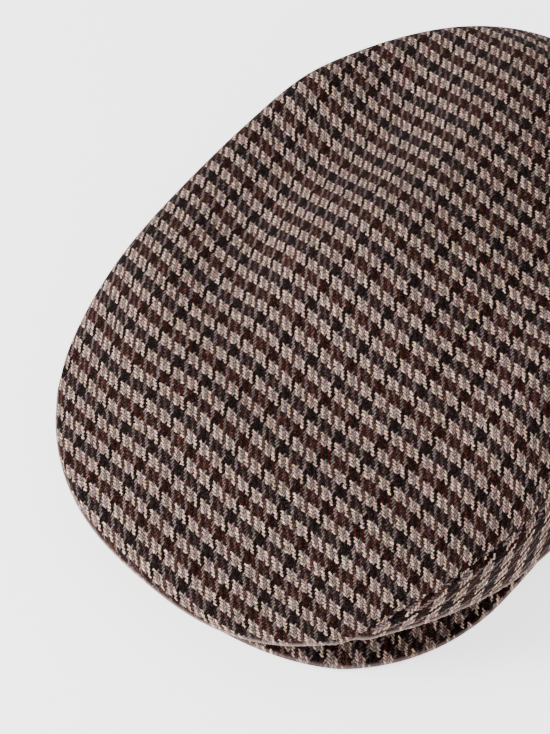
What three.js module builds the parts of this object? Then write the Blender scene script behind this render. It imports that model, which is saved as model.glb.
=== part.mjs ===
// Flat cap in checked tweed: a wide top panel folded under at the front,
// two side panels joined at the centre back, and a stiff cloth peak.
// Millimetres, +Z up, front of the cap towards -Y, the wearer's left side at +X.
// The cap stands on its back hem and on the two wings of its peak.
import * as THREE from 'three';

// Crown, measured outside the cloth
const crownLength = 268; // front fold to centre back
const crownWidth = 208.4; // across the fullest place
const crownHeight = 100.4; // surface that the cap stands on, to the highest place of the top
const frontToFullest = 140; // front fold to the fullest place
const frontRoundness = 2.56; // 2 is an ellipse, more is squarer
const backRoundness = 2.3;

// Head opening, measured inside the hem
const headLength = 200;
const headWidth = 166;
const backOverhang = 12; // how far the crown stands out behind the hem

// Cloth
const clothWall = 2;
const hemWall = 2.8; // the hem is turned up
const hemTurn = 0.15; // share of the climb over which the turned hem thins out
const seamGap = 0.3; // between two panels that are sewn together
const peakGap = 0.4; // between the crown's cloth and the peak that it lies on

// Peak, covered in the same cloth
const peakWidth = 190;
const peakThickness = 3.6;
const peakEdgeThickness = 1.6; // at its rounded outer edge
const peakSetback = 4.5; // edge of the peak behind the front fold of the crown
const wingSetback = 89.2; // front fold of the crown to the widest place of the peak
const peakRoundness = 2.15;
const peakLift = 10.9; // middle of the front edge above the surface below the cap
const peakSlope = 0.17; // rise towards the head
const peakArch = 190; // radius that the peak is bent to, side to side
const wingEnd = 4; // width left at the back end of each wing

// Places round the cap, as turns from the front in radians
const peakCorner = THREE.MathUtils.degToRad(82); // back ends of the peak
const hemRest = THREE.MathUtils.degToRad(145); // where the hem has come down flat

// Heights along the cap. along: share of crownLength from the front. edge: where the crown
// is widest. rim: the flat ledge inside that edge. middle: the raised middle of the top.
// The three heights are shares of crownHeight.
const heights = [
  { along: 0.0, edge: 0.195, rim: 0.214, middle: 0.257 },
  { along: 0.08, edge: 0.271, rim: 0.29, middle: 0.354 },
  { along: 0.2, edge: 0.327, rim: 0.395, middle: 0.55 },
  { along: 0.35, edge: 0.39, rim: 0.509, middle: 0.736 },
  { along: 0.45, edge: 0.44, rim: 0.548, middle: 0.879 },
  { along: 0.58, edge: 0.517, rim: 0.602, middle: 0.977 },
  { along: 0.72, edge: 0.615, rim: 0.742, middle: 0.984 },
  { along: 0.88, edge: 0.656, rim: 0.8, middle: 1.0 },
  { along: 1.0, edge: 0.674, rim: 0.832, middle: 0.814 },
];

// Half width of the raised middle on each side, as shares of crownWidth. The wearer's
// right side steps down in a long fold that draws inward towards the back.
const shoulders = [
  { along: 0.3, right: 0.262, left: 0.496 },
  { along: 0.5, right: 0.227, left: 0.496 },
  { along: 0.72, right: 0.199, left: 0.496 },
];
const shoulderSoftness = 0.116; // share of crownWidth over which the step rounds off
const rollSharpness = 14; // how late the top turns down at its edge
const rollFullness = 2.6; // how round that turn is

// The cloth from the widest edge down to the hem. round: share of the half turn from the
// front. hang: how far it falls before it tucks in, and low: height of the tuck above
// the hem, both as shares of crownHeight. tuck: place of the tuck, as a share of the overhang.
const sides = [
  { round: 0.0, hang: 0.07, tuck: 0.75, low: -0.08 },
  { round: 0.25, hang: 0.06, tuck: 0.6, low: 0.0 },
  { round: 0.35, hang: 0.16, tuck: 0.65, low: 0.0 },
  { round: 0.42, hang: 0.26, tuck: 0.6, low: 0.02 },
  { round: 0.6, hang: 0.28, tuck: 0.3, low: 0.12 },
  { round: 1.0, hang: 0.28, tuck: 0.1, low: 0.22 },
];

// The seam between the top and the side panels. at: share of the way from the front tip of a
// side panel to the centre back. left and right: climb of the seam up the cloth, where 0 is
// the hem, 0.5 the widest edge and 1 the centre of the top.
const seams = [
  { at: 0.0, left: 0.03, right: 0.03 },
  { at: 0.09, left: 0.24, right: 0.22 },
  { at: 0.19, left: 0.575, right: 0.42 },
  { at: 0.32, left: 0.612, right: 0.43 },
  { at: 0.6, left: 0.63, right: 0.46 },
  { at: 1.0, left: 0.6, right: 0.6 },
];

// Fineness of the facets
const columnsRound = 60; // all the way round the crown, an even number
const columnCrowding = 0.3; // how much closer the columns lie at the front, back and sides
const tipColumn = 4; // the column, counted from the front, where the side panels begin
const foldRows = 9; // from the hem or the seam to the inner side of the rounded edge
const foldTopClimb = 0.66;
const topRows = 8; // from there inwards
const innermostClimb = 0.94; // the last row before the centre of the top
const sideRows = 8;
const peakRows = 5;
const peakRowCrowding = 1.6; // how much closer the rows lie at the outer edge
const peakColumns = 22; // on each side of the middle
const frontShare = 0.8; // share of those columns in front of the wing

const fullestY = frontToFullest - crownLength / 2;
const hemHalfLength = headLength / 2 + hemWall;
const hemHalfWidth = headWidth / 2 + hemWall;
const headY = crownLength / 2 - backOverhang - hemHalfLength;
const peakFrontY = peakSetback - crownLength / 2;
const wingY = wingSetback - crownLength / 2;

// Value of one column of a table, on a smooth curve that never overshoots its rows
function rowValue(rows, place, at, column) {
  const last = rows.length - 1;
  const clamped = Math.min(Math.max(at, rows[0][place]), rows[last][place]);
  let row = 0;
  while (row < last - 1 && clamped > rows[row + 1][place]) row += 1;
  const steepness = (i) => (rows[i + 1][column] - rows[i][column]) / (rows[i + 1][place] - rows[i][place]);
  const tangent = (i) => {
    if (i === 0) return steepness(0);
    if (i === last) return steepness(last - 1);
    const before = steepness(i - 1);
    const after = steepness(i);
    return before * after > 0 ? (2 * before * after) / (before + after) : 0;
  };
  const span = rows[row + 1][place] - rows[row][place];
  const t = (clamped - rows[row][place]) / span;
  const blend = t * t * (3 - 2 * t);
  const start = rows[row][column];
  const end = rows[row + 1][column];
  const leave = tangent(row) * span * t * (1 - t) * (1 - t);
  const arrive = tangent(row + 1) * span * t * t * (t - 1);
  return start + (end - start) * blend + leave + arrive;
}

function signedPower(value, power) {
  return Math.sign(value) * Math.abs(value) ** power;
}

// Share of the half turn from the front, the same on both sides
function roundShare(turn) {
  return Math.abs(turn) / Math.PI;
}

// Plan of the crown at its widest, at a turn from the front, positive to the wearer's left
function crownEdge(turn) {
  const ahead = Math.cos(turn);
  const roundness = ahead > 0 ? frontRoundness : backRoundness;
  const reach = ahead > 0 ? frontToFullest : crownLength - frontToFullest;
  return {
    x: (crownWidth / 2) * signedPower(Math.sin(turn), 2 / roundness),
    y: fullestY - reach * signedPower(ahead, 2 / roundness),
  };
}

function hemPlan(turn, inset) {
  return {
    x: (hemHalfWidth - inset) * Math.sin(turn),
    y: headY - (hemHalfLength - inset) * Math.cos(turn),
  };
}

// Height of the middle of the peak's thickness, kept clear of the surface below
function peakMiddle(x, y) {
  const bent = peakLift + peakSlope * (y - peakFrontY) - (x * x) / (2 * peakArch);
  return Math.max(bent, peakThickness / 2);
}

function aboveThePeak(x, y) {
  return peakMiddle(x, y) + peakThickness / 2 + peakGap;
}

// The hem sits on the root of the peak in front, and comes down to the surface at the back
function hemHeight(turn, inset) {
  const seat = hemPlan(Math.min(Math.abs(turn), peakCorner), inset);
  const back = hemPlan(hemRest, inset).y;
  const fall = THREE.MathUtils.smoothstep(hemPlan(turn, inset).y, seat.y, back);
  return aboveThePeak(seat.x, seat.y) * (1 - fall);
}

// Height of the top without its rounded edge
function topHeight(x, y) {
  const along = y / crownLength + 0.5;
  const side = x < 0 ? 'right' : 'left';
  const half = crownWidth * rowValue(shoulders, 'along', along, side);
  const soft = crownWidth * shoulderSoftness;
  const lift = (1 - Math.tanh((Math.abs(x) - half) / soft)) / (1 + Math.tanh(half / soft));
  const rim = rowValue(heights, 'along', along, 'rim');
  const middle = rowValue(heights, 'along', along, 'middle');
  return crownHeight * (rim + (middle - rim) * lift);
}

function edgeHeight(edge) {
  return crownHeight * rowValue(heights, 'along', edge.y / crownLength + 0.5, 'edge');
}

// Outside of the cloth. climb is 0 at the hem, 0.5 at the widest edge and 1 at the centre.
function clothPoint(turn, climb) {
  const edge = crownEdge(turn);
  const edgeZ = edgeHeight(edge);
  if (climb >= 0.5) {
    const inward = (climb - 0.5) * 2;
    const reach = 1 - inward ** rollFullness;
    const x = edge.x * reach;
    const y = fullestY + (edge.y - fullestY) * reach;
    const rise = (1 - reach ** rollSharpness) ** (1 / rollFullness);
    return new THREE.Vector3(x, y, edgeZ + (topHeight(x, y) - edgeZ) * rise);
  }
  const hem = hemPlan(turn, 0);
  const hemZ = hemHeight(turn, 0);
  const round = roundShare(turn);
  const hang = crownHeight * rowValue(sides, 'round', round, 'hang');
  const tuck = rowValue(sides, 'round', round, 'tuck');
  const low = crownHeight * rowValue(sides, 'round', round, 'low');
  const fall = new THREE.CubicBezierCurve3(
    new THREE.Vector3(edge.x, edge.y, edgeZ),
    new THREE.Vector3(edge.x, edge.y, edgeZ - hang),
    new THREE.Vector3(hem.x + (edge.x - hem.x) * tuck, hem.y + (edge.y - hem.y) * tuck, hemZ + low),
    new THREE.Vector3(hem.x, hem.y, hemZ),
  );
  const point = fall.getPoint(1 - climb * 2);
  if (Math.abs(turn) < peakCorner) point.z = Math.max(point.z, aboveThePeak(point.x, point.y));
  return point;
}

// Inside of the cloth, one wall behind the outside. The bottom of the hem lies flat on what
// carries it.
function insidePoint(turn, climb) {
  const outer = clothPoint(turn, climb);
  if (climb === 0) {
    const inside = hemPlan(turn, hemWall);
    return new THREE.Vector3(inside.x, inside.y, hemHeight(turn, hemWall));
  }
  const step = 0.004;
  const upward = clothPoint(turn, Math.min(climb + step, 1)).sub(clothPoint(turn, climb - step));
  const onward = clothPoint(turn + step, climb).sub(clothPoint(turn - step, climb));
  const outward = onward.cross(upward).normalize();
  const turned = THREE.MathUtils.smoothstep(climb, 0, hemTurn);
  return outer.addScaledVector(outward, -THREE.MathUtils.lerp(hemWall, clothWall, turned));
}

// A closed wall between an outside and an inside grid of points. Each grid holds columns
// of points, in the order that turns to the wearer's left. A joined wall goes all the way
// round and closes on a centre point of each grid.
function wallGeometry(outside, inside, centres) {
  const columns = outside.length;
  const rows = outside[0].length;
  const positions = [];
  const faces = [];
  for (const grid of [outside, inside]) {
    for (const column of grid) {
      for (const point of column) positions.push(point.x, point.y, point.z);
    }
  }
  const outer = (i, j) => (i % columns) * rows + j;
  const inner = (i, j) => columns * rows + outer(i, j);
  const quad = (a, b, c, d) => faces.push(a, b, c, a, c, d);
  const spans = centres ? columns : columns - 1;
  for (let i = 0; i < spans; i += 1) {
    for (let j = 0; j < rows - 1; j += 1) {
      quad(outer(i, j), outer(i + 1, j), outer(i + 1, j + 1), outer(i, j + 1));
      quad(inner(i, j + 1), inner(i + 1, j + 1), inner(i + 1, j), inner(i, j));
    }
    quad(inner(i, 0), inner(i + 1, 0), outer(i + 1, 0), outer(i, 0));
  }
  const top = rows - 1;
  if (centres) {
    const outerCentre = positions.length / 3;
    for (const point of centres) positions.push(point.x, point.y, point.z);
    for (let i = 0; i < columns; i += 1) {
      faces.push(outer(i, top), outer(i + 1, top), outerCentre);
      faces.push(inner(i + 1, top), inner(i, top), outerCentre + 1);
    }
  } else {
    const end = columns - 1;
    for (let i = 0; i < end; i += 1) {
      quad(inner(i, top), outer(i, top), outer(i + 1, top), inner(i + 1, top));
    }
    for (let j = 0; j < top; j += 1) {
      quad(outer(0, j), outer(0, j + 1), inner(0, j + 1), inner(0, j));
      quad(outer(end, j + 1), outer(end, j), inner(end, j), inner(end, j + 1));
    }
  }
  const geometry = new THREE.BufferGeometry();
  geometry.setAttribute('position', new THREE.Float32BufferAttribute(positions, 3));
  geometry.setIndex(faces);
  geometry.computeVertexNormals();
  return geometry;
}

// Turn of a column, from the front to the wearer's left
function columnTurn(column) {
  const even = (column / columnsRound) * Math.PI * 2;
  return even - (columnCrowding / 4) * Math.sin(4 * even);
}

const tipTurn = columnTurn(tipColumn);
const backTurn = Math.PI - seamGap / 2 / hemHalfWidth; // half a gap beside the centre back

function seamPlace(turn) {
  const at = (Math.abs(turn) - tipTurn) / (Math.PI - tipTurn);
  return rowValue(seams, 'at', at, turn < 0 ? 'right' : 'left');
}

// Climb of the seam at a turn, moved up or down the cloth until it stands half a gap away
function seamClimb(turn, direction) {
  const step = 0.01;
  const climb = seamPlace(turn);
  const upward = clothPoint(turn, climb + step).sub(clothPoint(turn, climb - step));
  const onward = clothPoint(turn + step, seamPlace(turn + step));
  onward.sub(clothPoint(turn - step, seamPlace(turn - step)));
  const slant = onward.clone().cross(upward).length() / (onward.length() * upward.length());
  return climb + (direction * (seamGap / 2) * 2 * step) / (upward.length() * slant);
}

function wallMesh(name, columns, centred, material) {
  const outside = columns.map(({ turn, climbs }) => climbs.map((climb) => clothPoint(turn, climb)));
  const inside = columns.map(({ turn, climbs }) => climbs.map((climb) => insidePoint(turn, climb)));
  let centres = null;
  if (centred) {
    const crown = clothPoint(0, 1);
    centres = [crown, crown.clone().setZ(crown.z - clothWall)];
  }
  return namedMesh(name, wallGeometry(outside, inside, centres), material);
}

function namedMesh(name, geometry, material) {
  const mesh = new THREE.Mesh(geometry, material);
  mesh.name = name;
  return mesh;
}

function tweed(color) {
  return new THREE.MeshStandardMaterial({ color, roughness: 0.95, metalness: 0 });
}

function spreadClimbs(from, to, rows) {
  return Array.from({ length: rows }, (_, row) => from + ((to - from) * row) / (rows - 1));
}

// The top runs from its seams to the centre. In front of the side panels it folds under and
// goes back to the hem.
function topPanel(material) {
  const columns = [];
  for (let column = 1 - columnsRound / 2; column <= columnsRound / 2; column += 1) {
    const turn = columnTurn(column);
    const start = Math.abs(column) < tipColumn ? 0 : seamClimb(turn, 1);
    const fold = spreadClimbs(start, foldTopClimb, foldRows);
    const top = spreadClimbs(foldTopClimb, innermostClimb, topRows);
    columns.push({ turn, climbs: [...fold, ...top.slice(1)] });
  }
  return wallMesh('top_panel', columns, true, material);
}

// A side panel runs from its tip over the peak to the centre back. side is 1 on the wearer's
// left and -1 on the right.
function sidePanel(name, side, material) {
  const columns = [];
  for (let column = tipColumn; column <= columnsRound / 2; column += 1) {
    const turn = side * Math.min(columnTurn(column), backTurn);
    columns.push({ turn, climbs: spreadClimbs(0, seamClimb(turn, -1), sideRows) });
  }
  if (side < 0) columns.reverse();
  return wallMesh(name, columns, false, material);
}

// Plan of the peak's edge and of its root under the hem. share runs from -1 at the end of
// the right wing to 1 at the end of the left wing.
function peakEdge(share) {
  const side = Math.sign(share);
  const away = Math.abs(share);
  const end = hemPlan(peakCorner, -wingEnd);
  const quarter = Math.PI / 2;
  if (away <= frontShare) {
    const angle = (quarter * away) / frontShare;
    return {
      x: side * (peakWidth / 2) * Math.sin(angle) ** (2 / peakRoundness),
      y: wingY + (peakFrontY - wingY) * Math.cos(angle) ** (2 / peakRoundness),
    };
  }
  const angle = (quarter * (away - frontShare)) / (1 - frontShare);
  return {
    x: side * (end.x + (peakWidth / 2 - end.x) * Math.cos(angle)),
    y: wingY + (end.y - wingY) * Math.sin(angle),
  };
}

function peak(material) {
  const upper = [];
  const lower = [];
  for (let column = -peakColumns; column <= peakColumns; column += 1) {
    const share = column / peakColumns;
    const edge = peakEdge(share);
    const root = hemPlan(share * peakCorner, hemWall);
    const top = [];
    const bottom = [];
    for (let row = 0; row < peakRows; row += 1) {
      const inward = (row / (peakRows - 1)) ** peakRowCrowding;
      const x = edge.x + (root.x - edge.x) * inward;
      const y = edge.y + (root.y - edge.y) * inward;
      const half = (row === 0 ? peakEdgeThickness : peakThickness) / 2;
      top.push(new THREE.Vector3(x, y, peakMiddle(x, y) + half));
      bottom.push(new THREE.Vector3(x, y, peakMiddle(x, y) - half));
    }
    upper.push(top);
    lower.push(bottom);
  }
  return namedMesh('peak', wallGeometry(upper, lower, null), material);
}

const flatCap = new THREE.Group();
flatCap.name = 'flat_cap';
flatCap.add(topPanel(tweed('#6b5a55')));
flatCap.add(sidePanel('left_side_panel', 1, tweed('#67564f')));
flatCap.add(sidePanel('right_side_panel', -1, tweed('#67564f')));
flatCap.add(peak(tweed('#5c4b46')));

export default flatCap;
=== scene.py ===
import math

import bpy
import numpy as np
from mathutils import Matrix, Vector


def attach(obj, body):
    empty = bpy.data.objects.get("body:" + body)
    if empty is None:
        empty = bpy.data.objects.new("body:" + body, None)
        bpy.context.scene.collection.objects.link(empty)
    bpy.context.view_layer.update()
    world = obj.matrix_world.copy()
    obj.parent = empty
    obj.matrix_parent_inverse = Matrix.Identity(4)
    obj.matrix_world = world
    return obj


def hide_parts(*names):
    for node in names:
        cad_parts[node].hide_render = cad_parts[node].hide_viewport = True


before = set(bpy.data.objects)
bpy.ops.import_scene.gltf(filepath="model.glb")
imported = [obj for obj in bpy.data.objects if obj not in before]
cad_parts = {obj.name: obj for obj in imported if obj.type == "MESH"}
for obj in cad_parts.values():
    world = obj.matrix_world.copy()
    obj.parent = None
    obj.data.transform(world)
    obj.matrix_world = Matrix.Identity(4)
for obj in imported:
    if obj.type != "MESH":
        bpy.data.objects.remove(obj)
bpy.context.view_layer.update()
mm = 0.001  # shapes are worked out in millimetres, and meshes are made in metres

# The crown's cloth surface, as its solids have it. Front towards -Y, wearer's left at +X.
crown = {
    "length": 268,
    "width": 208.4,
    "height": 100.4,
    "frontToFullest": 140,
    "frontRoundness": 2.56,
    "backRoundness": 2.3,
    "headLength": 200,
    "headWidth": 166,
    "backOverhang": 12,
    "clothWall": 2,
    "hemWall": 2.8,
    "hemTurn": 0.15,  # the climb at which the wall has its plain thickness
    "rollSharpness": 14,
    "rollFullness": 2.6,
    "shoulderSoftness": 0.116,
    "hemRest": math.radians(145),  # from here to the back the hem rests on the surface
    "tip": math.radians(24),  # where the side panels begin, before the columns are eased
    "turnEasing": 0.075,
    "sharpFrom": math.radians(50),
}
peak = {
    "width": 190,
    "thickness": 3.6,
    "setback": 4.5,
    "wingSetback": 89.2,
    "roundness": 2.15,
    "lift": 10.9,
    "slope": 0.17,
    "arch": 190,
    "wingEnd": 4,
    "gap": 0.4,
    "corner": math.radians(82),
    "frontShare": 0.8,
    "edgeLength": 3.2,  # how far in its rounded edge reaches
    "edgeRoundness": 2.2,
    # a painted highlight along the peak's rounded edge: its strength, how far in it lies and its width,
    # in millimetres
    "edgeHighlightShare": 0.35,
    "edgeHighlightAt": 0.2,
    "edgeHighlightWidth": 0.45,
    "sharpFrom": math.radians(60),
}
# along, widest edge, rim, raised middle, as shares of the length and the height
heights = [
    (0.0, 0.195, 0.214, 0.257),
    (0.08, 0.271, 0.29, 0.354),
    (0.2, 0.327, 0.395, 0.55),
    (0.35, 0.39, 0.509, 0.736),
    (0.45, 0.44, 0.548, 0.879),
    (0.58, 0.517, 0.602, 0.977),
    (0.72, 0.615, 0.742, 0.984),
    (0.88, 0.656, 0.8, 1.0),
    (1.0, 0.674, 0.832, 0.814),
]
shoulders = [(0.3, 0.262, 0.496), (0.5, 0.227, 0.496), (0.72, 0.199, 0.496)]  # along, right, left
sides = [  # round, hang, tuck, low
    (0.0, 0.07, 0.75, -0.08),
    (0.25, 0.06, 0.6, 0.0),
    (0.35, 0.16, 0.65, 0.0),
    (0.42, 0.26, 0.6, 0.02),
    (0.6, 0.28, 0.3, 0.12),
    (1.0, 0.28, 0.1, 0.22),
]
seams = [  # at, left, right
    (0.0, 0.03, 0.03),
    (0.09, 0.24, 0.22),
    (0.19, 0.575, 0.42),
    (0.32, 0.612, 0.43),
    (0.6, 0.63, 0.46),
    (1.0, 0.6, 0.6),
]

fullestY = crown["frontToFullest"] - crown["length"] / 2
hemHalfLength = crown["headLength"] / 2 + crown["hemWall"]
hemHalfWidth = crown["headWidth"] / 2 + crown["hemWall"]
headY = crown["length"] / 2 - crown["backOverhang"] - hemHalfLength
peakFrontY = peak["setback"] - crown["length"] / 2
wingY = peak["wingSetback"] - crown["length"] / 2


def easedTurn(even):  # brings the columns together where the plan would spread them apart
    return even - crown["turnEasing"] * np.sin(4 * even)


tipTurn = easedTurn(crown["tip"])


def tableValue(rows, at, column):  # one column of a table, on a smooth curve through its rows
    places = np.array([row[0] for row in rows], float)
    values = np.array([row[column] for row in rows], float)
    span = np.diff(places)
    slope = np.diff(values) / span
    product = slope[:-1] * slope[1:]
    total = np.where(product > 0, slope[:-1] + slope[1:], 1)
    inner = np.where(product > 0, 2 * product / total, 0)
    tangent = np.concatenate([slope[:1], inner, slope[-1:]])
    at = np.clip(at, places[0], places[-1])
    row = np.clip(np.searchsorted(places, at) - 1, 0, len(span) - 1)
    t = (at - places[row]) / span[row]
    blend = t * t * (3 - 2 * t)
    leave = tangent[row] * span[row] * t * (1 - t) ** 2
    arrive = tangent[row + 1] * span[row] * t * t * (t - 1)
    return values[row] + (values[row + 1] - values[row]) * blend + leave + arrive


def signedPower(value, power):
    return np.sign(value) * np.abs(value) ** power


def smooth(value, low, high):
    t = np.clip((value - low) / (high - low), 0, 1)
    return t * t * (3 - 2 * t)


def bell(distance, width):
    return np.exp(-((distance / width) ** 2))


def crownEdge(turn):
    ahead = np.cos(turn)
    power = np.where(ahead > 0, 2 / crown["frontRoundness"], 2 / crown["backRoundness"])
    reach = np.where(ahead > 0, crown["frontToFullest"], crown["length"] - crown["frontToFullest"])
    edgeX = crown["width"] / 2 * signedPower(np.sin(turn), power)
    return edgeX, fullestY - reach * signedPower(ahead, power)


def hemPlan(turn, inset):
    return (hemHalfWidth - inset) * np.sin(turn), headY - (hemHalfLength - inset) * np.cos(turn)


def peakMiddle(x, y):
    bent = peak["lift"] + peak["slope"] * (y - peakFrontY) - x * x / (2 * peak["arch"])
    return np.maximum(bent, peak["thickness"] / 2)


def aboveThePeak(x, y):
    return peakMiddle(x, y) + peak["thickness"] / 2 + peak["gap"]


def hemHeight(turn, inset):
    seatX, seatY = hemPlan(np.minimum(np.abs(turn), peak["corner"]), inset)
    back = hemPlan(crown["hemRest"], inset)[1]
    fall = smooth(hemPlan(turn, inset)[1], seatY, back)
    return aboveThePeak(seatX, seatY) * (1 - fall)


def topHeight(x, y):
    along = y / crown["length"] + 0.5
    share = np.where(x < 0, tableValue(shoulders, along, 1), tableValue(shoulders, along, 2))
    half = crown["width"] * share
    soft = crown["width"] * crown["shoulderSoftness"]
    lift = (1 - np.tanh((np.abs(x) - half) / soft)) / (1 + np.tanh(half / soft))
    rim = tableValue(heights, along, 2)
    middle = tableValue(heights, along, 3)
    return crown["height"] * (rim + (middle - rim) * lift)


# Outside of the cloth. climb is 0 at the hem, 0.5 at the widest edge and 1 at the centre.
def clothPoint(turn, climb):
    turn, climb = np.broadcast_arrays(np.asarray(turn, float), np.asarray(climb, float))
    edgeX, edgeY = crownEdge(turn)
    edgeZ = crown["height"] * tableValue(heights, edgeY / crown["length"] + 0.5, 1)
    inward = np.clip((climb - 0.5) * 2, 0, 1)
    reach = 1 - inward ** crown["rollFullness"]
    topX = edgeX * reach
    topY = fullestY + (edgeY - fullestY) * reach
    rise = (1 - reach ** crown["rollSharpness"]) ** (1 / crown["rollFullness"])
    topZ = edgeZ + (topHeight(topX, topY) - edgeZ) * rise
    hemX, hemY = hemPlan(turn, 0)
    hemZ = hemHeight(turn, 0)
    hang, tuck, low = (tableValue(sides, np.abs(turn) / math.pi, column) for column in (1, 2, 3))
    s = np.clip(climb * 2, 0, 1)  # 1 at the edge, 0 at the hem
    a, b, c, d = s**3, 3 * s * s * (1 - s), 3 * s * (1 - s) ** 2, (1 - s) ** 3
    sideX = edgeX * (a + b) + (hemX + (edgeX - hemX) * tuck) * c + hemX * d
    sideY = edgeY * (a + b) + (hemY + (edgeY - hemY) * tuck) * c + hemY * d
    lowZ = hemZ + crown["height"] * low
    sideZ = edgeZ * (a + b) - crown["height"] * hang * b + lowZ * c + hemZ * d
    overPeak = np.abs(turn) < peak["corner"]
    sideZ = np.where(overPeak, np.maximum(sideZ, aboveThePeak(sideX, sideY)), sideZ)
    pairs = [(topX, sideX), (topY, sideY), (topZ, sideZ)]
    return np.stack([np.where(climb >= 0.5, top, side) for top, side in pairs], -1)


def unit(vectors):
    return vectors / np.maximum(np.linalg.norm(vectors, axis=-1, keepdims=True), 1e-9)


def clothOutward(turn, climb, step=0.004):
    above = clothPoint(turn, np.minimum(climb + step, 1))
    upward = above - clothPoint(turn, np.maximum(climb - step, 0))
    onward = clothPoint(turn + step, climb) - clothPoint(turn - step, climb)
    return unit(np.cross(onward, upward))


def seamPlace(turn):
    at = (np.abs(turn) - tipTurn) / (math.pi - tipTurn)
    return np.where(turn < 0, tableValue(seams, at, 2), tableValue(seams, at, 1))


# How far the top's cloth runs from its middle, to the wearer's left and to the front, measured
# along its surface on a grid with a point in each millimetre
class ClothMap:
    def __init__(self, halfWidth, halfLength):
        self.x = np.arange(-halfWidth, halfWidth + 1, dtype=float)
        self.y = np.arange(-halfLength, halfLength + 1, dtype=float)
        gridX, gridY = np.meshgrid(self.x, self.y, indexing="ij")
        z = topHeight(gridX, gridY)
        acrossStep = np.hypot(1, np.diff(z, axis=0))
        alongStep = np.hypot(1, np.diff(z, axis=1))
        across = np.concatenate([np.zeros((1, len(self.y))), np.cumsum(acrossStep, 0)], 0)
        along = np.concatenate([np.zeros((len(self.x), 1)), np.cumsum(alongStep, 1)], 1)
        self.across = across - across[np.searchsorted(self.x, 0)][None, :]
        self.along = -(along - along[:, np.searchsorted(self.y, fullestY)][:, None])

    def read(self, grid, x, y):
        inside = 1.001  # keeps the next point of the grid within it
        i = np.clip(x - self.x[0], 0, len(self.x) - inside)
        j = np.clip(y - self.y[0], 0, len(self.y) - inside)
        i0, j0 = i.astype(int), j.astype(int)
        fi, fj = i - i0, j - j0
        low = grid[i0, j0] * (1 - fi) + grid[i0 + 1, j0] * fi
        high = grid[i0, j0 + 1] * (1 - fi) + grid[i0 + 1, j0 + 1] * fi
        return low * (1 - fj) + high * fj

    def at(self, x, y):
        return np.stack([self.read(self.across, x, y), self.read(self.along, x, y)], -1)


clothMap = ClothMap(110, 140)


def runLength(points):  # how far each row lies along its column
    steps = np.linalg.norm(np.diff(points, axis=1), axis=-1)
    return np.concatenate([np.zeros((len(points), 1)), np.cumsum(steps, 1)], 1)


# How the cloth lies: yarn counts from the cloth's own lengths in millimetres. Lengthwise yarns
# are counted to the wearer's left, and yarns across them to the front.
weave = {
    "lengthwisePitch": 0.893,  # from yarn to yarn
    "acrossPitch": 0.98,
    "lengthwiseStart": 0.4,  # the count at the middle of the top
    "acrossStart": 11.6,
    "lengthwiseLean": -0.035,  # yarns that the count gains in each millimetre along the yarns
    "acrossLean": -0.059,
    "bow": 16,  # yarns that the cloth sags by, 100 mm from the middle
    "bowEasing": 6,
    "sideRise": 0.85,  # the side panels are cut on a slant
    "sideRiseLean": 0.25,
    "sideRiseStart": 5.0,
    "sideRound": 0.82,
    "sideRoundLean": -0.22,
    "sideRoundStart": 4.0,
    "peakLengthwise": 0.934,  # the cloth of the peak is a little stretched
    "peakLengthwiseStart": 9.1,
    "peakAcross": 0.99,
    "peakAcrossStart": 1.2,
}


def topYarns(lengths):
    u, v = lengths[..., 0], lengths[..., 1]
    away = (u / 100) ** 2
    lengthwise = u / weave["lengthwisePitch"] + weave["lengthwiseLean"] * v + weave["lengthwiseStart"]
    bowed = weave["bow"] * away - weave["bowEasing"] * away * away
    across = v / weave["acrossPitch"] + weave["acrossLean"] * u + bowed + weave["acrossStart"]
    return np.stack([lengthwise, across], -1)


def sideYarns(climbed, around, side):
    up, on = climbed / weave["lengthwisePitch"], around / weave["acrossPitch"]
    rise = weave["sideRise"] * up + side * weave["sideRiseLean"] * on + weave["sideRiseStart"]
    along = side * weave["sideRoundLean"] * up + weave["sideRound"] * on + weave["sideRoundStart"]
    return np.stack([rise, along], -1)


def peakYarns(across, along):
    lengthwise = weave["peakLengthwise"] * across / weave["lengthwisePitch"]
    crosswise = weave["peakAcross"] * along / weave["acrossPitch"]
    starts = weave["peakLengthwiseStart"], weave["peakAcrossStart"]
    return np.stack([lengthwise + starts[0], crosswise + starts[1]], -1)


# adds a third number to the yarn counts: the mask of a painted highlight along pressed edges
def withEdgeHighlight(marks, edgeHighlight):
    return np.concatenate([marks, np.broadcast_to(edgeHighlight, marks.shape[:-1])[..., None]], -1)


def clothMesh(name, places, marks, faces, sharpFrom):
    mesh = bpy.data.meshes.new(name)
    mesh.from_pydata((places * mm).tolist(), [], faces)
    mesh.validate()
    mesh.attributes.new("yarns", "FLOAT_VECTOR", "POINT")
    mesh.attributes["yarns"].data.foreach_set("vector", marks.astype(np.float32).ravel())
    mesh.shade_smooth()
    mesh.set_sharp_from_angle(angle=sharpFrom)
    piece = bpy.data.objects.new(name, mesh)
    bpy.context.scene.collection.objects.link(piece)
    return piece


def gridFaces(columns, rows, closed, skipRow=None):  # rows close on themselves in each column
    i = np.arange(columns if closed else columns - 1)
    onward = (i + 1) % columns
    faces = []
    for row in range(rows):
        after = (row + 1) % rows
        if row != skipRow:
            corners = [i * rows + row, onward * rows + row, onward * rows + after, i * rows + after]
            faces.append(np.stack(corners, 1))
    return np.concatenate(faces).tolist()


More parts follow.
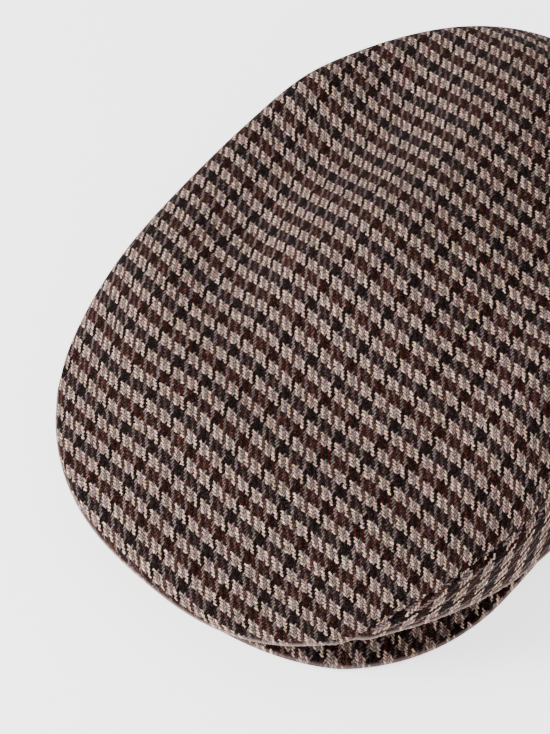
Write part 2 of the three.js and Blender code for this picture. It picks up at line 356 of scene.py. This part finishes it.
# Soft folds of the crown as it lies, in millimetres and degrees. Below zero is a hollow.
folds = [  # x, y, turn, half length, half width, height
    (-80, 20, 105, 35, 30, 2.5),  # the roll along the wearer's right
    (-70, -60, 105, 70, 15, 2.5),
    (-75, -50, 20, 20, 25, 1.5),
    (-40, -85, 130, 65, 20, 2.0),  # the full front
    (15, -95, 35, 45, 25, 2.0),
    (10, -90, 65, 55, 30, 2.0),
    (-55, 55, 150, 55, 20, -2.0),  # the hollow inside that roll
    (-70, 60, 100, 30, 15, -2.0),
    (-35, 20, 105, 60, 20, -1.5),
    (-50, -35, 120, 45, 15, -2.0),
    (15, -55, 10, 45, 15, -1.5),  # the dip behind the front
    (-10, -50, 175, 60, 30, -2.0),
    (5, 10, 175, 50, 20, -1.0),
    (55, -20, 105, 60, 15, -2.5),  # the slack along the wearer's left
    (60, -15, 125, 50, 20, -1.5),
]


def foldHeight(x, y):
    height = 0
    for placeX, placeY, degrees, length, width, rise in folds:
        turned = math.radians(degrees)
        onX, onY = x - placeX, y - placeY
        on = (onX * math.cos(turned) + onY * math.sin(turned)) / length
        off = (onY * math.cos(turned) - onX * math.sin(turned)) / width
        height = height + rise * np.exp(-on * on - off * off)
    return height


# What the sewing and the pressing do to the cloth near its edges, in millimetres
finish = {
    "seamGap": 0.06,
    "grooveDepth": 1.0,
    "grooveWidth": 1.3,
    "allowanceLift": 0.35,  # the seam's own cloth lies under it
    "allowanceAt": 4.5,
    "allowanceWidth": 2.6,
    "hemRounding": 1.3,
    "narrowSide": 6,  # below this width a side panel has no room for its grooves
    "creaseSlope": -0.3,  # how far down the cloth faces at the pressed edge
    "creaseEnds": (math.radians(80), math.radians(100)),
    "creaseNeeds": 30,  # length of cloth between its edges
    "creaseWidth": 0.75,
    "creaseHeight": 0.6,
    "creaseHollowAt": 1.7,
    "creaseHollowShare": 0.5,
    "foldsFrom": 0.66,  # the climb at which the soft folds are full
    "yarnsFrom": 0.75,  # below this climb the top's yarns run straight on over its edge
}
# Rows and columns of the meshes, and where they crowd together
detail = {
    "topColumns": 360,
    "rollRows": 90,
    "rollTo": 0.66,  # climb
    "rollCrowding": 1.5,
    "topRows": 40,
    "topTo": 0.985,
    "sideColumns": 220,
    "sideRows": 110,
    "sideCrowding": 0.13,
    "peakColumns": 240,
    "peakRows": 34,
    "peakCrowding": 2.4,
}


def seamShape(distance):  # how far the cloth stands out, by its distance from a seam
    lift = bell(distance - finish["allowanceAt"], finish["allowanceWidth"])
    return finish["allowanceLift"] * lift - finish["grooveDepth"] * bell(distance, finish["grooveWidth"])


def hemShape(distance):
    near = np.clip(1 - distance / finish["hemRounding"], 0, 1)
    return -finish["hemRounding"] * (1 - np.sqrt(1 - near * near))


def seamClimb(turn, direction):  # the seam's climb, moved half the gap up or down the cloth
    step = 0.01
    climb = seamPlace(turn)
    upward = clothPoint(turn, climb + step) - clothPoint(turn, climb - step)
    ahead, behind = turn + step, turn - step
    onward = clothPoint(ahead, seamPlace(ahead)) - clothPoint(behind, seamPlace(behind))
    slant = np.linalg.norm(np.cross(onward, upward), axis=-1)
    slant = slant / np.linalg.norm(onward, axis=-1) / np.linalg.norm(upward, axis=-1)
    return climb + direction * finish["seamGap"] * step / (np.linalg.norm(upward, axis=-1) * slant)


def wallThickness(climb):
    turned = smooth(climb, 0, crown["hemTurn"])
    return crown["hemWall"] + (crown["clothWall"] - crown["hemWall"]) * turned


def wallInside(turn, climb, outer):
    inside = outer - clothOutward(turn, climb) * wallThickness(climb)[..., None]
    hemX, hemY = hemPlan(turn, crown["hemWall"])
    hem = np.stack([hemX, hemY, hemHeight(turn, crown["hemWall"])], -1)
    return np.where((climb == 0)[..., None], hem, inside)


def outwardYarns(turn, points, climb, marks):  # carries the yarns straight on over the rounded edge
    edgeX, edgeY = crownEdge(turn[:, 0])
    way = unit(np.stack([edgeX, fullestY - edgeY], -1))
    run = runLength(points)
    kept = climb >= finish["yarnsFrom"]
    first = np.argmax(kept, axis=1)
    column = np.arange(len(points))
    beyond = (run[column, first][:, None] - run)[..., None]
    return np.where(kept[..., None], marks, marks[column, first][:, None] + way[:, None] * beyond)


# The pressed edge over the peak: how far the cloth stands out there, and where that edge is, as the mask
# of a painted highlight along it
def crease(turns, run, outward):
    facingDown = outward[..., 2] < finish["creaseSlope"]
    row = facingDown.shape[1] - 1 - np.argmax(facingDown[:, ::-1], axis=1)
    found = facingDown.any(axis=1) & (row < facingDown.shape[1] - 1)
    place = np.where(found, run[np.arange(len(run)), row], np.inf)[:, None]
    longEnough = run.max(axis=1, keepdims=True) > finish["creaseNeeds"]
    share = (1 - smooth(np.abs(turns), *finish["creaseEnds"])) * longEnough
    ridge = bell(run - place, finish["creaseWidth"]) * share
    hollow = bell(run - place - finish["creaseHollowAt"], finish["creaseWidth"]) * share
    return finish["creaseHeight"] * (ridge - finish["creaseHollowShare"] * hollow), ridge


def makeTop():
    count = detail["topColumns"]
    turn = easedTurn((np.arange(count) - count / 2 + 1) / count * 2 * math.pi)
    inTip = np.abs(turn) < tipTurn - 1e-6
    start = np.where(inTip, 0.0, seamClimb(turn, 1))[:, None]
    roll = np.linspace(0, 1, detail["rollRows"])[None] ** detail["rollCrowding"]
    top = np.linspace(detail["rollTo"], detail["topTo"], detail["topRows"])[None, 1:].repeat(count, 0)
    climb = np.concatenate([start + (detail["rollTo"] - start) * roll, top], 1)
    turns = turn[:, None].repeat(climb.shape[1], 1)
    outer = clothPoint(turns, climb)
    lengths = clothMap.at(outer[..., 0], outer[..., 1])
    marks = topYarns(outwardYarns(turns, outer, climb, lengths))
    run = runLength(outer)
    stand = np.where(inTip[:, None], 0, seamShape(run))
    outward = clothOutward(turns, climb)
    lie = foldHeight(outer[..., 0], outer[..., 1]) * smooth(climb, 0.5, finish["foldsFrom"])
    outer = outer + outward * lie[..., None]
    inner = wallInside(turns, climb, outer)
    # the crease also gives the mask of the painted highlight along the pressed edge
    ridge, edgeHighlight = crease(turns, run, outward)
    outer = outer + outward * (stand + ridge)[..., None]
    points = np.concatenate([outer, inner[:, ::-1]], 1)
    yarns = np.concatenate([withEdgeHighlight(marks, edgeHighlight), withEdgeHighlight(marks[:, ::-1], 0)], 1)
    # the last ring closes on a point at the centre, outside and inside
    middle = topHeight(0, fullestY) + foldHeight(0, fullestY)
    centre = [[0, fullestY, middle], [0, fullestY, middle - crown["clothWall"]]]
    rows, inside = points.shape[1], climb.shape[1]
    faces = gridFaces(count, rows, True, skipRow=inside - 1)
    for k in range(count):
        here, onward = k * rows + inside, (k + 1) % count * rows + inside
        faces.append([here - 1, onward - 1, count * rows])
        faces.append([onward, here, count * rows + 1])
    places = np.concatenate([points.reshape(-1, 3), centre])
    marks = np.concatenate([yarns.reshape(-1, 3), withEdgeHighlight(topYarns(np.zeros((2, 2))), 0)])
    return clothMesh("top", places, marks, faces, crown["sharpFrom"])


def makeSide(name, side):
    count = detail["sideColumns"]
    backTurn = math.pi - finish["seamGap"] / 2 / hemHalfWidth
    away = tipTurn + (backTurn - tipTurn) * np.linspace(0, 1, count)
    turn = away if side > 0 else -away[::-1]
    share = np.linspace(0, 1, detail["sideRows"])
    share = share - detail["sideCrowding"] * np.sin(2 * math.pi * share)  # towards the hem and the seam
    climb = share[None] * seamClimb(turn, -1)[:, None]
    turns = turn[:, None].repeat(climb.shape[1], 1)
    outer = clothPoint(turns, climb)
    inner = wallInside(turns, climb, outer)
    run = runLength(outer)
    middle = outer[:, outer.shape[1] // 2]
    around = runLength(middle[None])[0]
    around = around if side > 0 else around - around[-1]
    marks = sideYarns(run, around[:, None], side)
    toBack = (math.pi - np.abs(turns)) * hemHalfWidth
    stand = seamShape(run[:, -1:] - run) + seamShape(toBack) + hemShape(run)
    stand = stand * smooth(run[:, -1:], 0, finish["narrowSide"])
    outward = clothOutward(turns, climb)
    # the crease also gives the mask of the painted highlight along the pressed edge
    ridge, edgeHighlight = crease(turns, run, outward)
    outer = outer + outward * (stand + ridge)[..., None]
    points = np.concatenate([outer, inner[:, ::-1]], 1)
    yarns = np.concatenate([withEdgeHighlight(marks, edgeHighlight), withEdgeHighlight(marks[:, ::-1], 0)], 1)
    rows = points.shape[1]
    faces = gridFaces(count, rows, False)
    for row in range(rows // 2 - 1):  # both ends are filled between outside and inside
        first = [row, row + 1, rows - 2 - row, rows - 1 - row]
        faces.append(first)
        faces.append([(count - 1) * rows + corner for corner in reversed(first)])
    return clothMesh(name, points.reshape(-1, 3), yarns.reshape(-1, 3), faces, crown["sharpFrom"])


def peakEdge(share):
    away = np.abs(share)
    frontShare = peak["frontShare"]
    endX, endY = hemPlan(peak["corner"], -peak["wingEnd"])
    front = np.clip(math.pi / 2 * away / frontShare, 0, math.pi / 2)
    wing = np.clip(math.pi / 2 * (away - frontShare) / (1 - frontShare), 0, math.pi / 2)
    power = 2 / peak["roundness"]
    half = peak["width"] / 2
    frontX, wingX = half * np.sin(front) ** power, endX + (half - endX) * np.cos(wing)
    frontY = wingY + (peakFrontY - wingY) * np.cos(front) ** power
    sideY = wingY + (endY - wingY) * np.sin(wing)
    inFront = away <= frontShare
    return np.sign(share) * np.where(inFront, frontX, wingX), np.where(inFront, frontY, sideY)


def makePeak():
    share = np.linspace(-1, 1, detail["peakColumns"] + 1)
    edgeX, edgeY = peakEdge(share)
    rootX, rootY = hemPlan(share * peak["corner"], crown["hemWall"])
    inward = np.linspace(0, 1, detail["peakRows"]) ** detail["peakCrowding"]
    x = edgeX[:, None] + (rootX - edgeX)[:, None] * inward
    y = edgeY[:, None] + (rootY - edgeY)[:, None] * inward
    width = np.hypot(rootX - edgeX, rootY - edgeY)[:, None] * inward
    near = np.clip(1 - width / peak["edgeLength"], 0, 1)
    half = peak["thickness"] / 2 * np.sqrt(1 - near ** peak["edgeRoundness"])
    upper = np.stack([x, y, peakMiddle(x, y) + half], -1)
    lower = np.stack([x, y, peakMiddle(x, y) - half], -1)
    across = peak["arch"] * np.arcsin(x / peak["arch"])
    along = -(y - fullestY) * math.hypot(1, peak["slope"])
    # painted highlight along the peak's rounded edge
    edgeHighlight = peak["edgeHighlightShare"] * bell(width - peak["edgeHighlightAt"], peak["edgeHighlightWidth"])
    marks = withEdgeHighlight(peakYarns(across, along), edgeHighlight)
    # rows run from the edge to the root on the upper side and come back on the lower side
    points = np.concatenate([upper, lower[:, :0:-1]], 1)
    yarns = np.concatenate([marks, marks[:, :0:-1]], 1)
    columns, rows = points.shape[:2]
    faces = gridFaces(columns, rows, False)
    for row in range(detail["peakRows"] - 1):  # both ends are filled between the two sides
        face = [row, row + 1, rows - 1 - row, rows - row] if row else [0, 1, rows - 1]
        faces.append(face)
        faces.append([(columns - 1) * rows + corner for corner in reversed(face)])
    return clothMesh("peakBoard", points.reshape(-1, 3), yarns.reshape(-1, 3), faces, peak["sharpFrom"])


# A socket of a node tree. Arithmetic on it adds Math nodes.
class Wire:
    def __init__(self, tree, socket=None):
        self.tree = tree
        self.socket = socket

    def node(self, kind, settings, inputs, output=0):
        made = self.tree.nodes.new(kind)
        for name, value in settings.items():
            setattr(made, name, value)
        for name, value in inputs.items():
            if isinstance(value, Wire):
                self.tree.links.new(value.socket, made.inputs[name])
            else:
                made.inputs[name].default_value = value
        return Wire(self.tree, made.outputs[output]) if made.outputs else made

    def other(self, output):  # another output of the same node
        return Wire(self.tree, self.socket.node.outputs[output])

    def parts(self, kind):  # the three numbers of a colour or a vector
        first = self.node(kind, {}, {0: self})
        return [first, first.other(1), first.other(2)]

    def maths(self, operation, *values):
        return self.node("ShaderNodeMath", {"operation": operation}, dict(enumerate(values)))

    def vectorMaths(self, operation, *values):
        return self.node("ShaderNodeVectorMath", {"operation": operation}, dict(enumerate(values)))

    def __add__(self, other):
        return self.maths("ADD", self, other)

    def __radd__(self, other):
        return self.maths("ADD", other, self)

    def __sub__(self, other):
        return self.maths("SUBTRACT", self, other)

    def __rsub__(self, other):
        return self.maths("SUBTRACT", other, self)

    def __mul__(self, other):
        return self.maths("MULTIPLY", self, other)

    def __rmul__(self, other):
        return self.maths("MULTIPLY", other, self)

    def __truediv__(self, other):
        return self.maths("DIVIDE", self, other)

    def __rtruediv__(self, other):
        return self.maths("DIVIDE", other, self)

    def __mod__(self, other):
        return self.maths("FLOORED_MODULO", self, other)

    def __rmod__(self, other):
        return self.maths("FLOORED_MODULO", other, self)

    def __pow__(self, other):
        return self.maths("POWER", self, other)

    def __rpow__(self, other):
        return self.maths("POWER", other, self)

    def __lt__(self, other):
        return self.maths("LESS_THAN", self, other)

    def __gt__(self, other):
        return self.maths("GREATER_THAN", self, other)

    def floor(self):
        return self.maths("FLOOR", self)

    def atLeast(self, other):
        return self.maths("MAXIMUM", self, other)

    def atMost(self, other):
        return self.maths("MINIMUM", self, other)

    def near(self, value):  # 1 within a half of the value, 0 elsewhere
        return self.maths("COMPARE", self, value, 0.5)

    def choose(self, yes, no):  # yes where this is 1 and no where it is 0
        return self.node("ShaderNodeMix", {"data_type": "FLOAT"}, {0: self, 2: no, 3: yes})

    def tint(self, yes, no):  # the same for colours
        return self.node("ShaderNodeMix", {"data_type": "RGBA"}, {0: self, 6: no, 7: yes}, 2)

    def times(self, factor):  # a colour made darker or lighter
        scale = {"operation": "SCALE"}
        return self.node("ShaderNodeVectorMath", scale, {0: self, "Scale": factor})

    def noise(self, scale, detailLevel, roughness=0.5):  # at the place that this vector gives
        values = {"Vector": self, "Scale": scale, "Detail": detailLevel, "Roughness": roughness}
        return self.node("ShaderNodeTexNoise", {}, values, "Color")

    def stray(self, scale, detailLevel, roughness, amount):  # two numbers around 0
        apart = self.noise(scale, detailLevel, roughness).parts("ShaderNodeSeparateColor")
        return [(part - 0.5) * amount for part in apart[:2]]


tweed = {
    "group": 8,  # yarns to a check, half of them light
    "black": (0.0045, 0.0022, 0.002, 1.0),  # the dark lengthwise groups take turns
    "taupe": (0.044, 0.0245, 0.0225, 1.0),
    "brown": (0.0185, 0.004, 0.0023, 1.0),  # and so do the dark ones across
    "charcoal": (0.0085, 0.0048, 0.0048, 1.0),
    "lightLengthwise": (0.168, 0.124, 0.116, 1.0),
    "lightAcross": (0.515, 0.35, 0.275, 1.0),
    "gapLengthwise": 0.17,  # how bright the colour stays in the painted shade between the yarns
    "gapAcross": 0.1,
    "gapDark": 0.4,  # added beside the dark yarns across, which get less painted shade
    "slantLengthwise": 0.1,  # the floats lie a little askew
    "slantAcross": 0.3,
    "sharpLengthwise": 2.2,  # how narrow they look
    "sharpAcross": 2.8,
    "endFall": 0.75,  # how far they dip at their ends, in relief and in painted shade
    "dulling": 0.35,
    "dullest": 0.62,  # brightness of the dullest float
    "spread": 0.76,  # and how much more the brightest has
    "fibreScale": 1.6,  # noise cells to a yarn
    "fibreApart": 40,  # so that no two floats have the same fibres
    "flecks": 2.4,  # how far the fibres differ in colour
    "fleckLowest": 0.15,
    "speckLight": 2.4,  # and in brightness, in the light yarns and in the dark ones
    "speckDark": 7.0,
    "speckLowest": 0.1,
    "hairColour": (0.14, 0.1, 0.092, 1.0),
    "hairShare": 0.22,
    "hairFrom": 0.56,
    "hairContrast": 6.0,
    "hairAlong": (0.9, 0.5),  # shares of the two counts, as the hairs lie aslant
    "hairAcross": (-1.2, 2.6),
    "hairDepth": 3.0,
    "edgeHighlightColour": (0.34, 0.25, 0.23, 1.0),  # painted highlight, where the pressed edge of the cloth catches the light
    "edgeHighlightShare": 0.7,
    "jitter": 1.3,  # how far a yarn strays over a short way, in yarns
    "jitterScale": 0.8,
    "sway": 1.0,  # and over a long one
    "swayLength": 30,
    "relief": 0.00022,
    "reliefStrength": 0.8,
    "fibreRelief": 0.25,
    "roughness": 0.84,
    "fibreRoughness": 0.14,
    "specular": 0.03,
    "sheen": 0.006,
    "sheenRoughness": 0.45,
    "sheenTint": (1.0, 0.95, 0.92, 1.0),
}


def makeTweed(name):
    material = bpy.data.materials.new(name)
    material.use_nodes = True
    material.node_tree.nodes.clear()
    start = Wire(material.node_tree)
    place = start.node("ShaderNodeAttribute", {"attribute_name": "yarns"}, {}, "Vector")
    across, along, edgeHighlight = place.parts("ShaderNodeSeparateXYZ")
    swayU, swayV = place.stray(1 / tweed["swayLength"], 3.0, 0.7, tweed["sway"])
    jitterU, jitterV = place.stray(tweed["jitterScale"], 1.0, 0.5, tweed["jitter"])
    u, v = across + swayU + jitterU, along + swayV + jitterV
    i, j = u.floor(), v.floor()
    inU, inV = u - i, v - j

    # Twill: each yarn goes over two and under two, one yarn further on in the next
    step = (i - j) % 4.0
    lengthwise = step < 1.5
    toV = inV * 0.5 + (1 - step.near(1.0)) * 0.5
    toU = inU * 0.5 + (1 - step.near(2.0)) * 0.5
    offRun = lengthwise.choose(toV, toU) * 2 - 1
    slant = lengthwise.choose(tweed["slantLengthwise"], tweed["slantAcross"])
    offMiddle = lengthwise.choose(inU, inV) * 2 - 1 - slant * offRun
    body = (1 - offMiddle * offMiddle).atLeast(0.0)
    narrow = lengthwise.choose(body ** tweed["sharpLengthwise"], body ** tweed["sharpAcross"])
    dip = (1 - offRun * offRun * tweed["endFall"]).atLeast(0.0)
    profile = narrow * start.maths("SQRT", dip)

    group = tweed["group"]
    yarn = lengthwise.choose(i, j)
    light = (yarn % float(group)) < (group / 2 - 0.5)
    first = (yarn % float(group * 2)) < (group - 0.5)
    darkLengthwise = first.tint(tweed["taupe"], tweed["black"])
    dark = lengthwise.tint(darkLengthwise, first.tint(tweed["charcoal"], tweed["brown"]))
    pale = lengthwise.tint(tweed["lightLengthwise"], tweed["lightAcross"])

    # Each float differs a little, and so do its fibres
    floatKey = {0: yarn, 1: ((i - j) / 4).floor(), 2: lengthwise}
    key = start.node("ShaderNodeCombineXYZ", {}, floatKey)
    anyNumber = {"noise_dimensions": "3D"}
    chance = start.node("ShaderNodeTexWhiteNoise", anyNumber, {"Vector": key}, "Value")
    scale = tweed["fibreScale"]
    fibrePlace = {0: u * scale, 1: v * scale, 2: chance * tweed["fibreApart"]}
    fibreColour = start.node("ShaderNodeCombineXYZ", {}, fibrePlace).noise(1.0, 3.0, 0.7)
    fibre = fibreColour.other("Fac")
    hairU, hairV = (u * a + v * b for a, b in (tweed["hairAlong"], tweed["hairAcross"]))
    hairPlace = start.node("ShaderNodeCombineXYZ", {}, {0: hairU, 1: hairV, 2: tweed["hairDepth"]})
    hair = hairPlace.noise(1.0, 2.0).other("Fac")
    hairs = ((hair - tweed["hairFrom"]) * tweed["hairContrast"]).atLeast(0.0).atMost(1.0)

    # painted shade: the colour darkens between the yarns and towards the floats' ends, down to this
    # share
    gap = lengthwise.choose(tweed["gapLengthwise"], (1 - light) * tweed["gapDark"] + tweed["gapAcross"])
    crossed = (lengthwise.choose(j, i) % float(group)) < (group / 2 - 0.5)
    inDark = lengthwise * light * (1 - crossed)  # pale floats that lie over dark ones look duller
    shade = (gap + (1 - gap) * profile) * (tweed["dullest"] + tweed["spread"] * chance)
    speck = 1 + (fibre - 0.5) * light.choose(tweed["speckLight"], tweed["speckDark"])
    shade = shade * (1 - inDark * tweed["dulling"]) * speck.atLeast(tweed["speckLowest"])
    even = (1 - tweed["flecks"] / 2,) * 3
    flecks = start.vectorMaths("MULTIPLY_ADD", fibreColour, (tweed["flecks"],) * 3, even)
    flecks = start.vectorMaths("MAXIMUM", flecks, (tweed["fleckLowest"],) * 3)
    colour = start.vectorMaths("MULTIPLY", light.tint(pale, dark).times(shade), flecks)
    colour = (hairs * tweed["hairShare"]).tint(tweed["hairColour"], colour)
    # painted highlight along the pressed edges, where the folded cloth catches the light
    colour = (edgeHighlight * tweed["edgeHighlightShare"]).tint(tweed["edgeHighlightColour"], colour)

    relief = {
        "Strength": tweed["reliefStrength"],
        "Distance": tweed["relief"],
        "Height": profile + fibre * tweed["fibreRelief"],
    }
    look = {
        "Base Color": colour,
        "Roughness": tweed["roughness"] + fibre * tweed["fibreRoughness"],
        "Normal": start.node("ShaderNodeBump", {}, relief),
        "Specular IOR Level": tweed["specular"],
        "Sheen Weight": tweed["sheen"],
        "Sheen Roughness": tweed["sheenRoughness"],
        "Sheen Tint": tweed["sheenTint"],
    }
    shader = start.node("ShaderNodeBsdfPrincipled", {}, look)
    start.node("ShaderNodeOutputMaterial", {}, {0: shader})
    return material


print("making the cloth")
topTweed = makeTweed("topTweed")
sideTweed = makeTweed("sideTweed")
peakTweed = makeTweed("peakTweed")

print("making the crown and the peak")
pieces = [
    (makeTop(), topTweed, "top_tweed", "top_panel"),
    (makeSide("leftSide", 1), sideTweed, "side_tweed", "left_side_panel"),
    (makeSide("rightSide", -1), sideTweed, "side_tweed", "right_side_panel"),
    (makePeak(), peakTweed, "peak_tweed", "peak"),
]
for piece, material, slotName, node in pieces:
    piece.data.materials.append(material)
    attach(piece, "root")
    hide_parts(node)

print("setting the studio")
studio = {
    "floorSize": 40.0,
    "floorHeight": -0.0005,
    "floorColour": (0.97, 0.97, 0.97, 1.0),
    "floorRoughness": 0.9,
    "floorGlow": 1.8,
    "white": (1.0, 1.0, 1.0, 1.0),
    "skyStrength": 1.2,
    "horizonStrength": 2.7,  # as bright as the floor, so that no edge shows between them
    "horizonEnd": 0.06,
    "skyFrom": 0.3,
    "target": (0, 0, 0.05),
    "keyPlace": (-0.65, -1.0, 0.62),
    "keySize": 0.5,
    "keyPower": 34.0,
    "fillPlace": (0.5, -1.2, 0.45),
    "fillSize": 0.8,
    "fillPower": 2.5,
}
bpy.ops.mesh.primitive_plane_add(size=studio["floorSize"], location=(0, 0, studio["floorHeight"]))
floor = bpy.context.object
floor.name = "floor"
paper = bpy.data.materials.new("paper")
paper.use_nodes = True
paperShader = paper.node_tree.nodes["Principled BSDF"]
paperShader.inputs["Base Color"].default_value = studio["floorColour"]
paperShader.inputs["Roughness"].default_value = studio["floorRoughness"]
paperShader.inputs["Emission Color"].default_value = studio["white"]
paperShader.inputs["Emission Strength"].default_value = studio["floorGlow"]
floor.data.materials.append(paper)

world = bpy.data.worlds.new("studioSky")
bpy.context.scene.world = world
world.use_nodes = True
sky = Wire(world.node_tree)
height = sky.node("ShaderNodeTexCoord", {}, {}, "Generated").parts("ShaderNodeSeparateXYZ")[2]
rise = {
    0: height,
    1: studio["horizonEnd"],
    2: studio["skyFrom"],
    3: studio["horizonStrength"],
    4: studio["skyStrength"],
}
strength = sky.node("ShaderNodeMapRange", {"interpolation_type": "SMOOTHSTEP"}, rise)
background = world.node_tree.nodes["Background"]
background.inputs["Color"].default_value = studio["white"]
world.node_tree.links.new(strength.socket, background.inputs["Strength"])


def softLight(name, place, size, power):
    lamp = bpy.data.lights.new(name, "AREA")
    lamp.shape = "DISK"
    lamp.size = size
    lamp.energy = power
    holder = bpy.data.objects.new(name, lamp)
    bpy.context.scene.collection.objects.link(holder)
    holder.location = place
    holder.rotation_mode = "QUATERNION"
    toTarget = Vector(studio["target"]) - Vector(place)
    holder.rotation_quaternion = toTarget.to_track_quat("-Z", "Y")


softLight("keyLight", studio["keyPlace"], studio["keySize"], studio["keyPower"])
softLight("fillLight", studio["fillPlace"], studio["fillSize"], studio["fillPower"])

# The photo's viewing angle: from above the front of the wearer's left side
view = {
    "azimuth": math.radians(44.661),
    "elevation": math.radians(54.641),
    "distance": 1591.22,
    "pixelsPerMm": 2.64696,
    "middle": (0, 5, 55.7),
    "aside": -48.951,
    "down": 23.305,
    "framePixels": 734,
    "sensorWidth": 36,
    "clip": (0.05, 50),
}
camera = bpy.data.objects.new("camera", bpy.data.cameras.new("camera"))
bpy.context.scene.collection.objects.link(camera)
bpy.context.scene.camera = camera
az, el = view["azimuth"], view["elevation"]
back = Vector((math.sin(az) * math.cos(el), -math.cos(az) * math.cos(el), math.sin(el)))
right = Vector((math.cos(az), math.sin(az), 0))
up = Vector((-math.sin(az) * math.sin(el), math.cos(az) * math.sin(el), math.cos(el)))
aim = Vector(view["middle"]) + right * view["aside"] - up * view["down"]
camera.location = (aim + back * view["distance"]) * mm
camera.rotation_mode = "QUATERNION"
camera.rotation_quaternion = (-back).to_track_quat("-Z", "Y")
camera.data.sensor_width = view["sensorWidth"]
camera.data.lens = view["sensorWidth"] * view["pixelsPerMm"] * view["distance"] / view["framePixels"]
camera.data.clip_start, camera.data.clip_end = view["clip"]
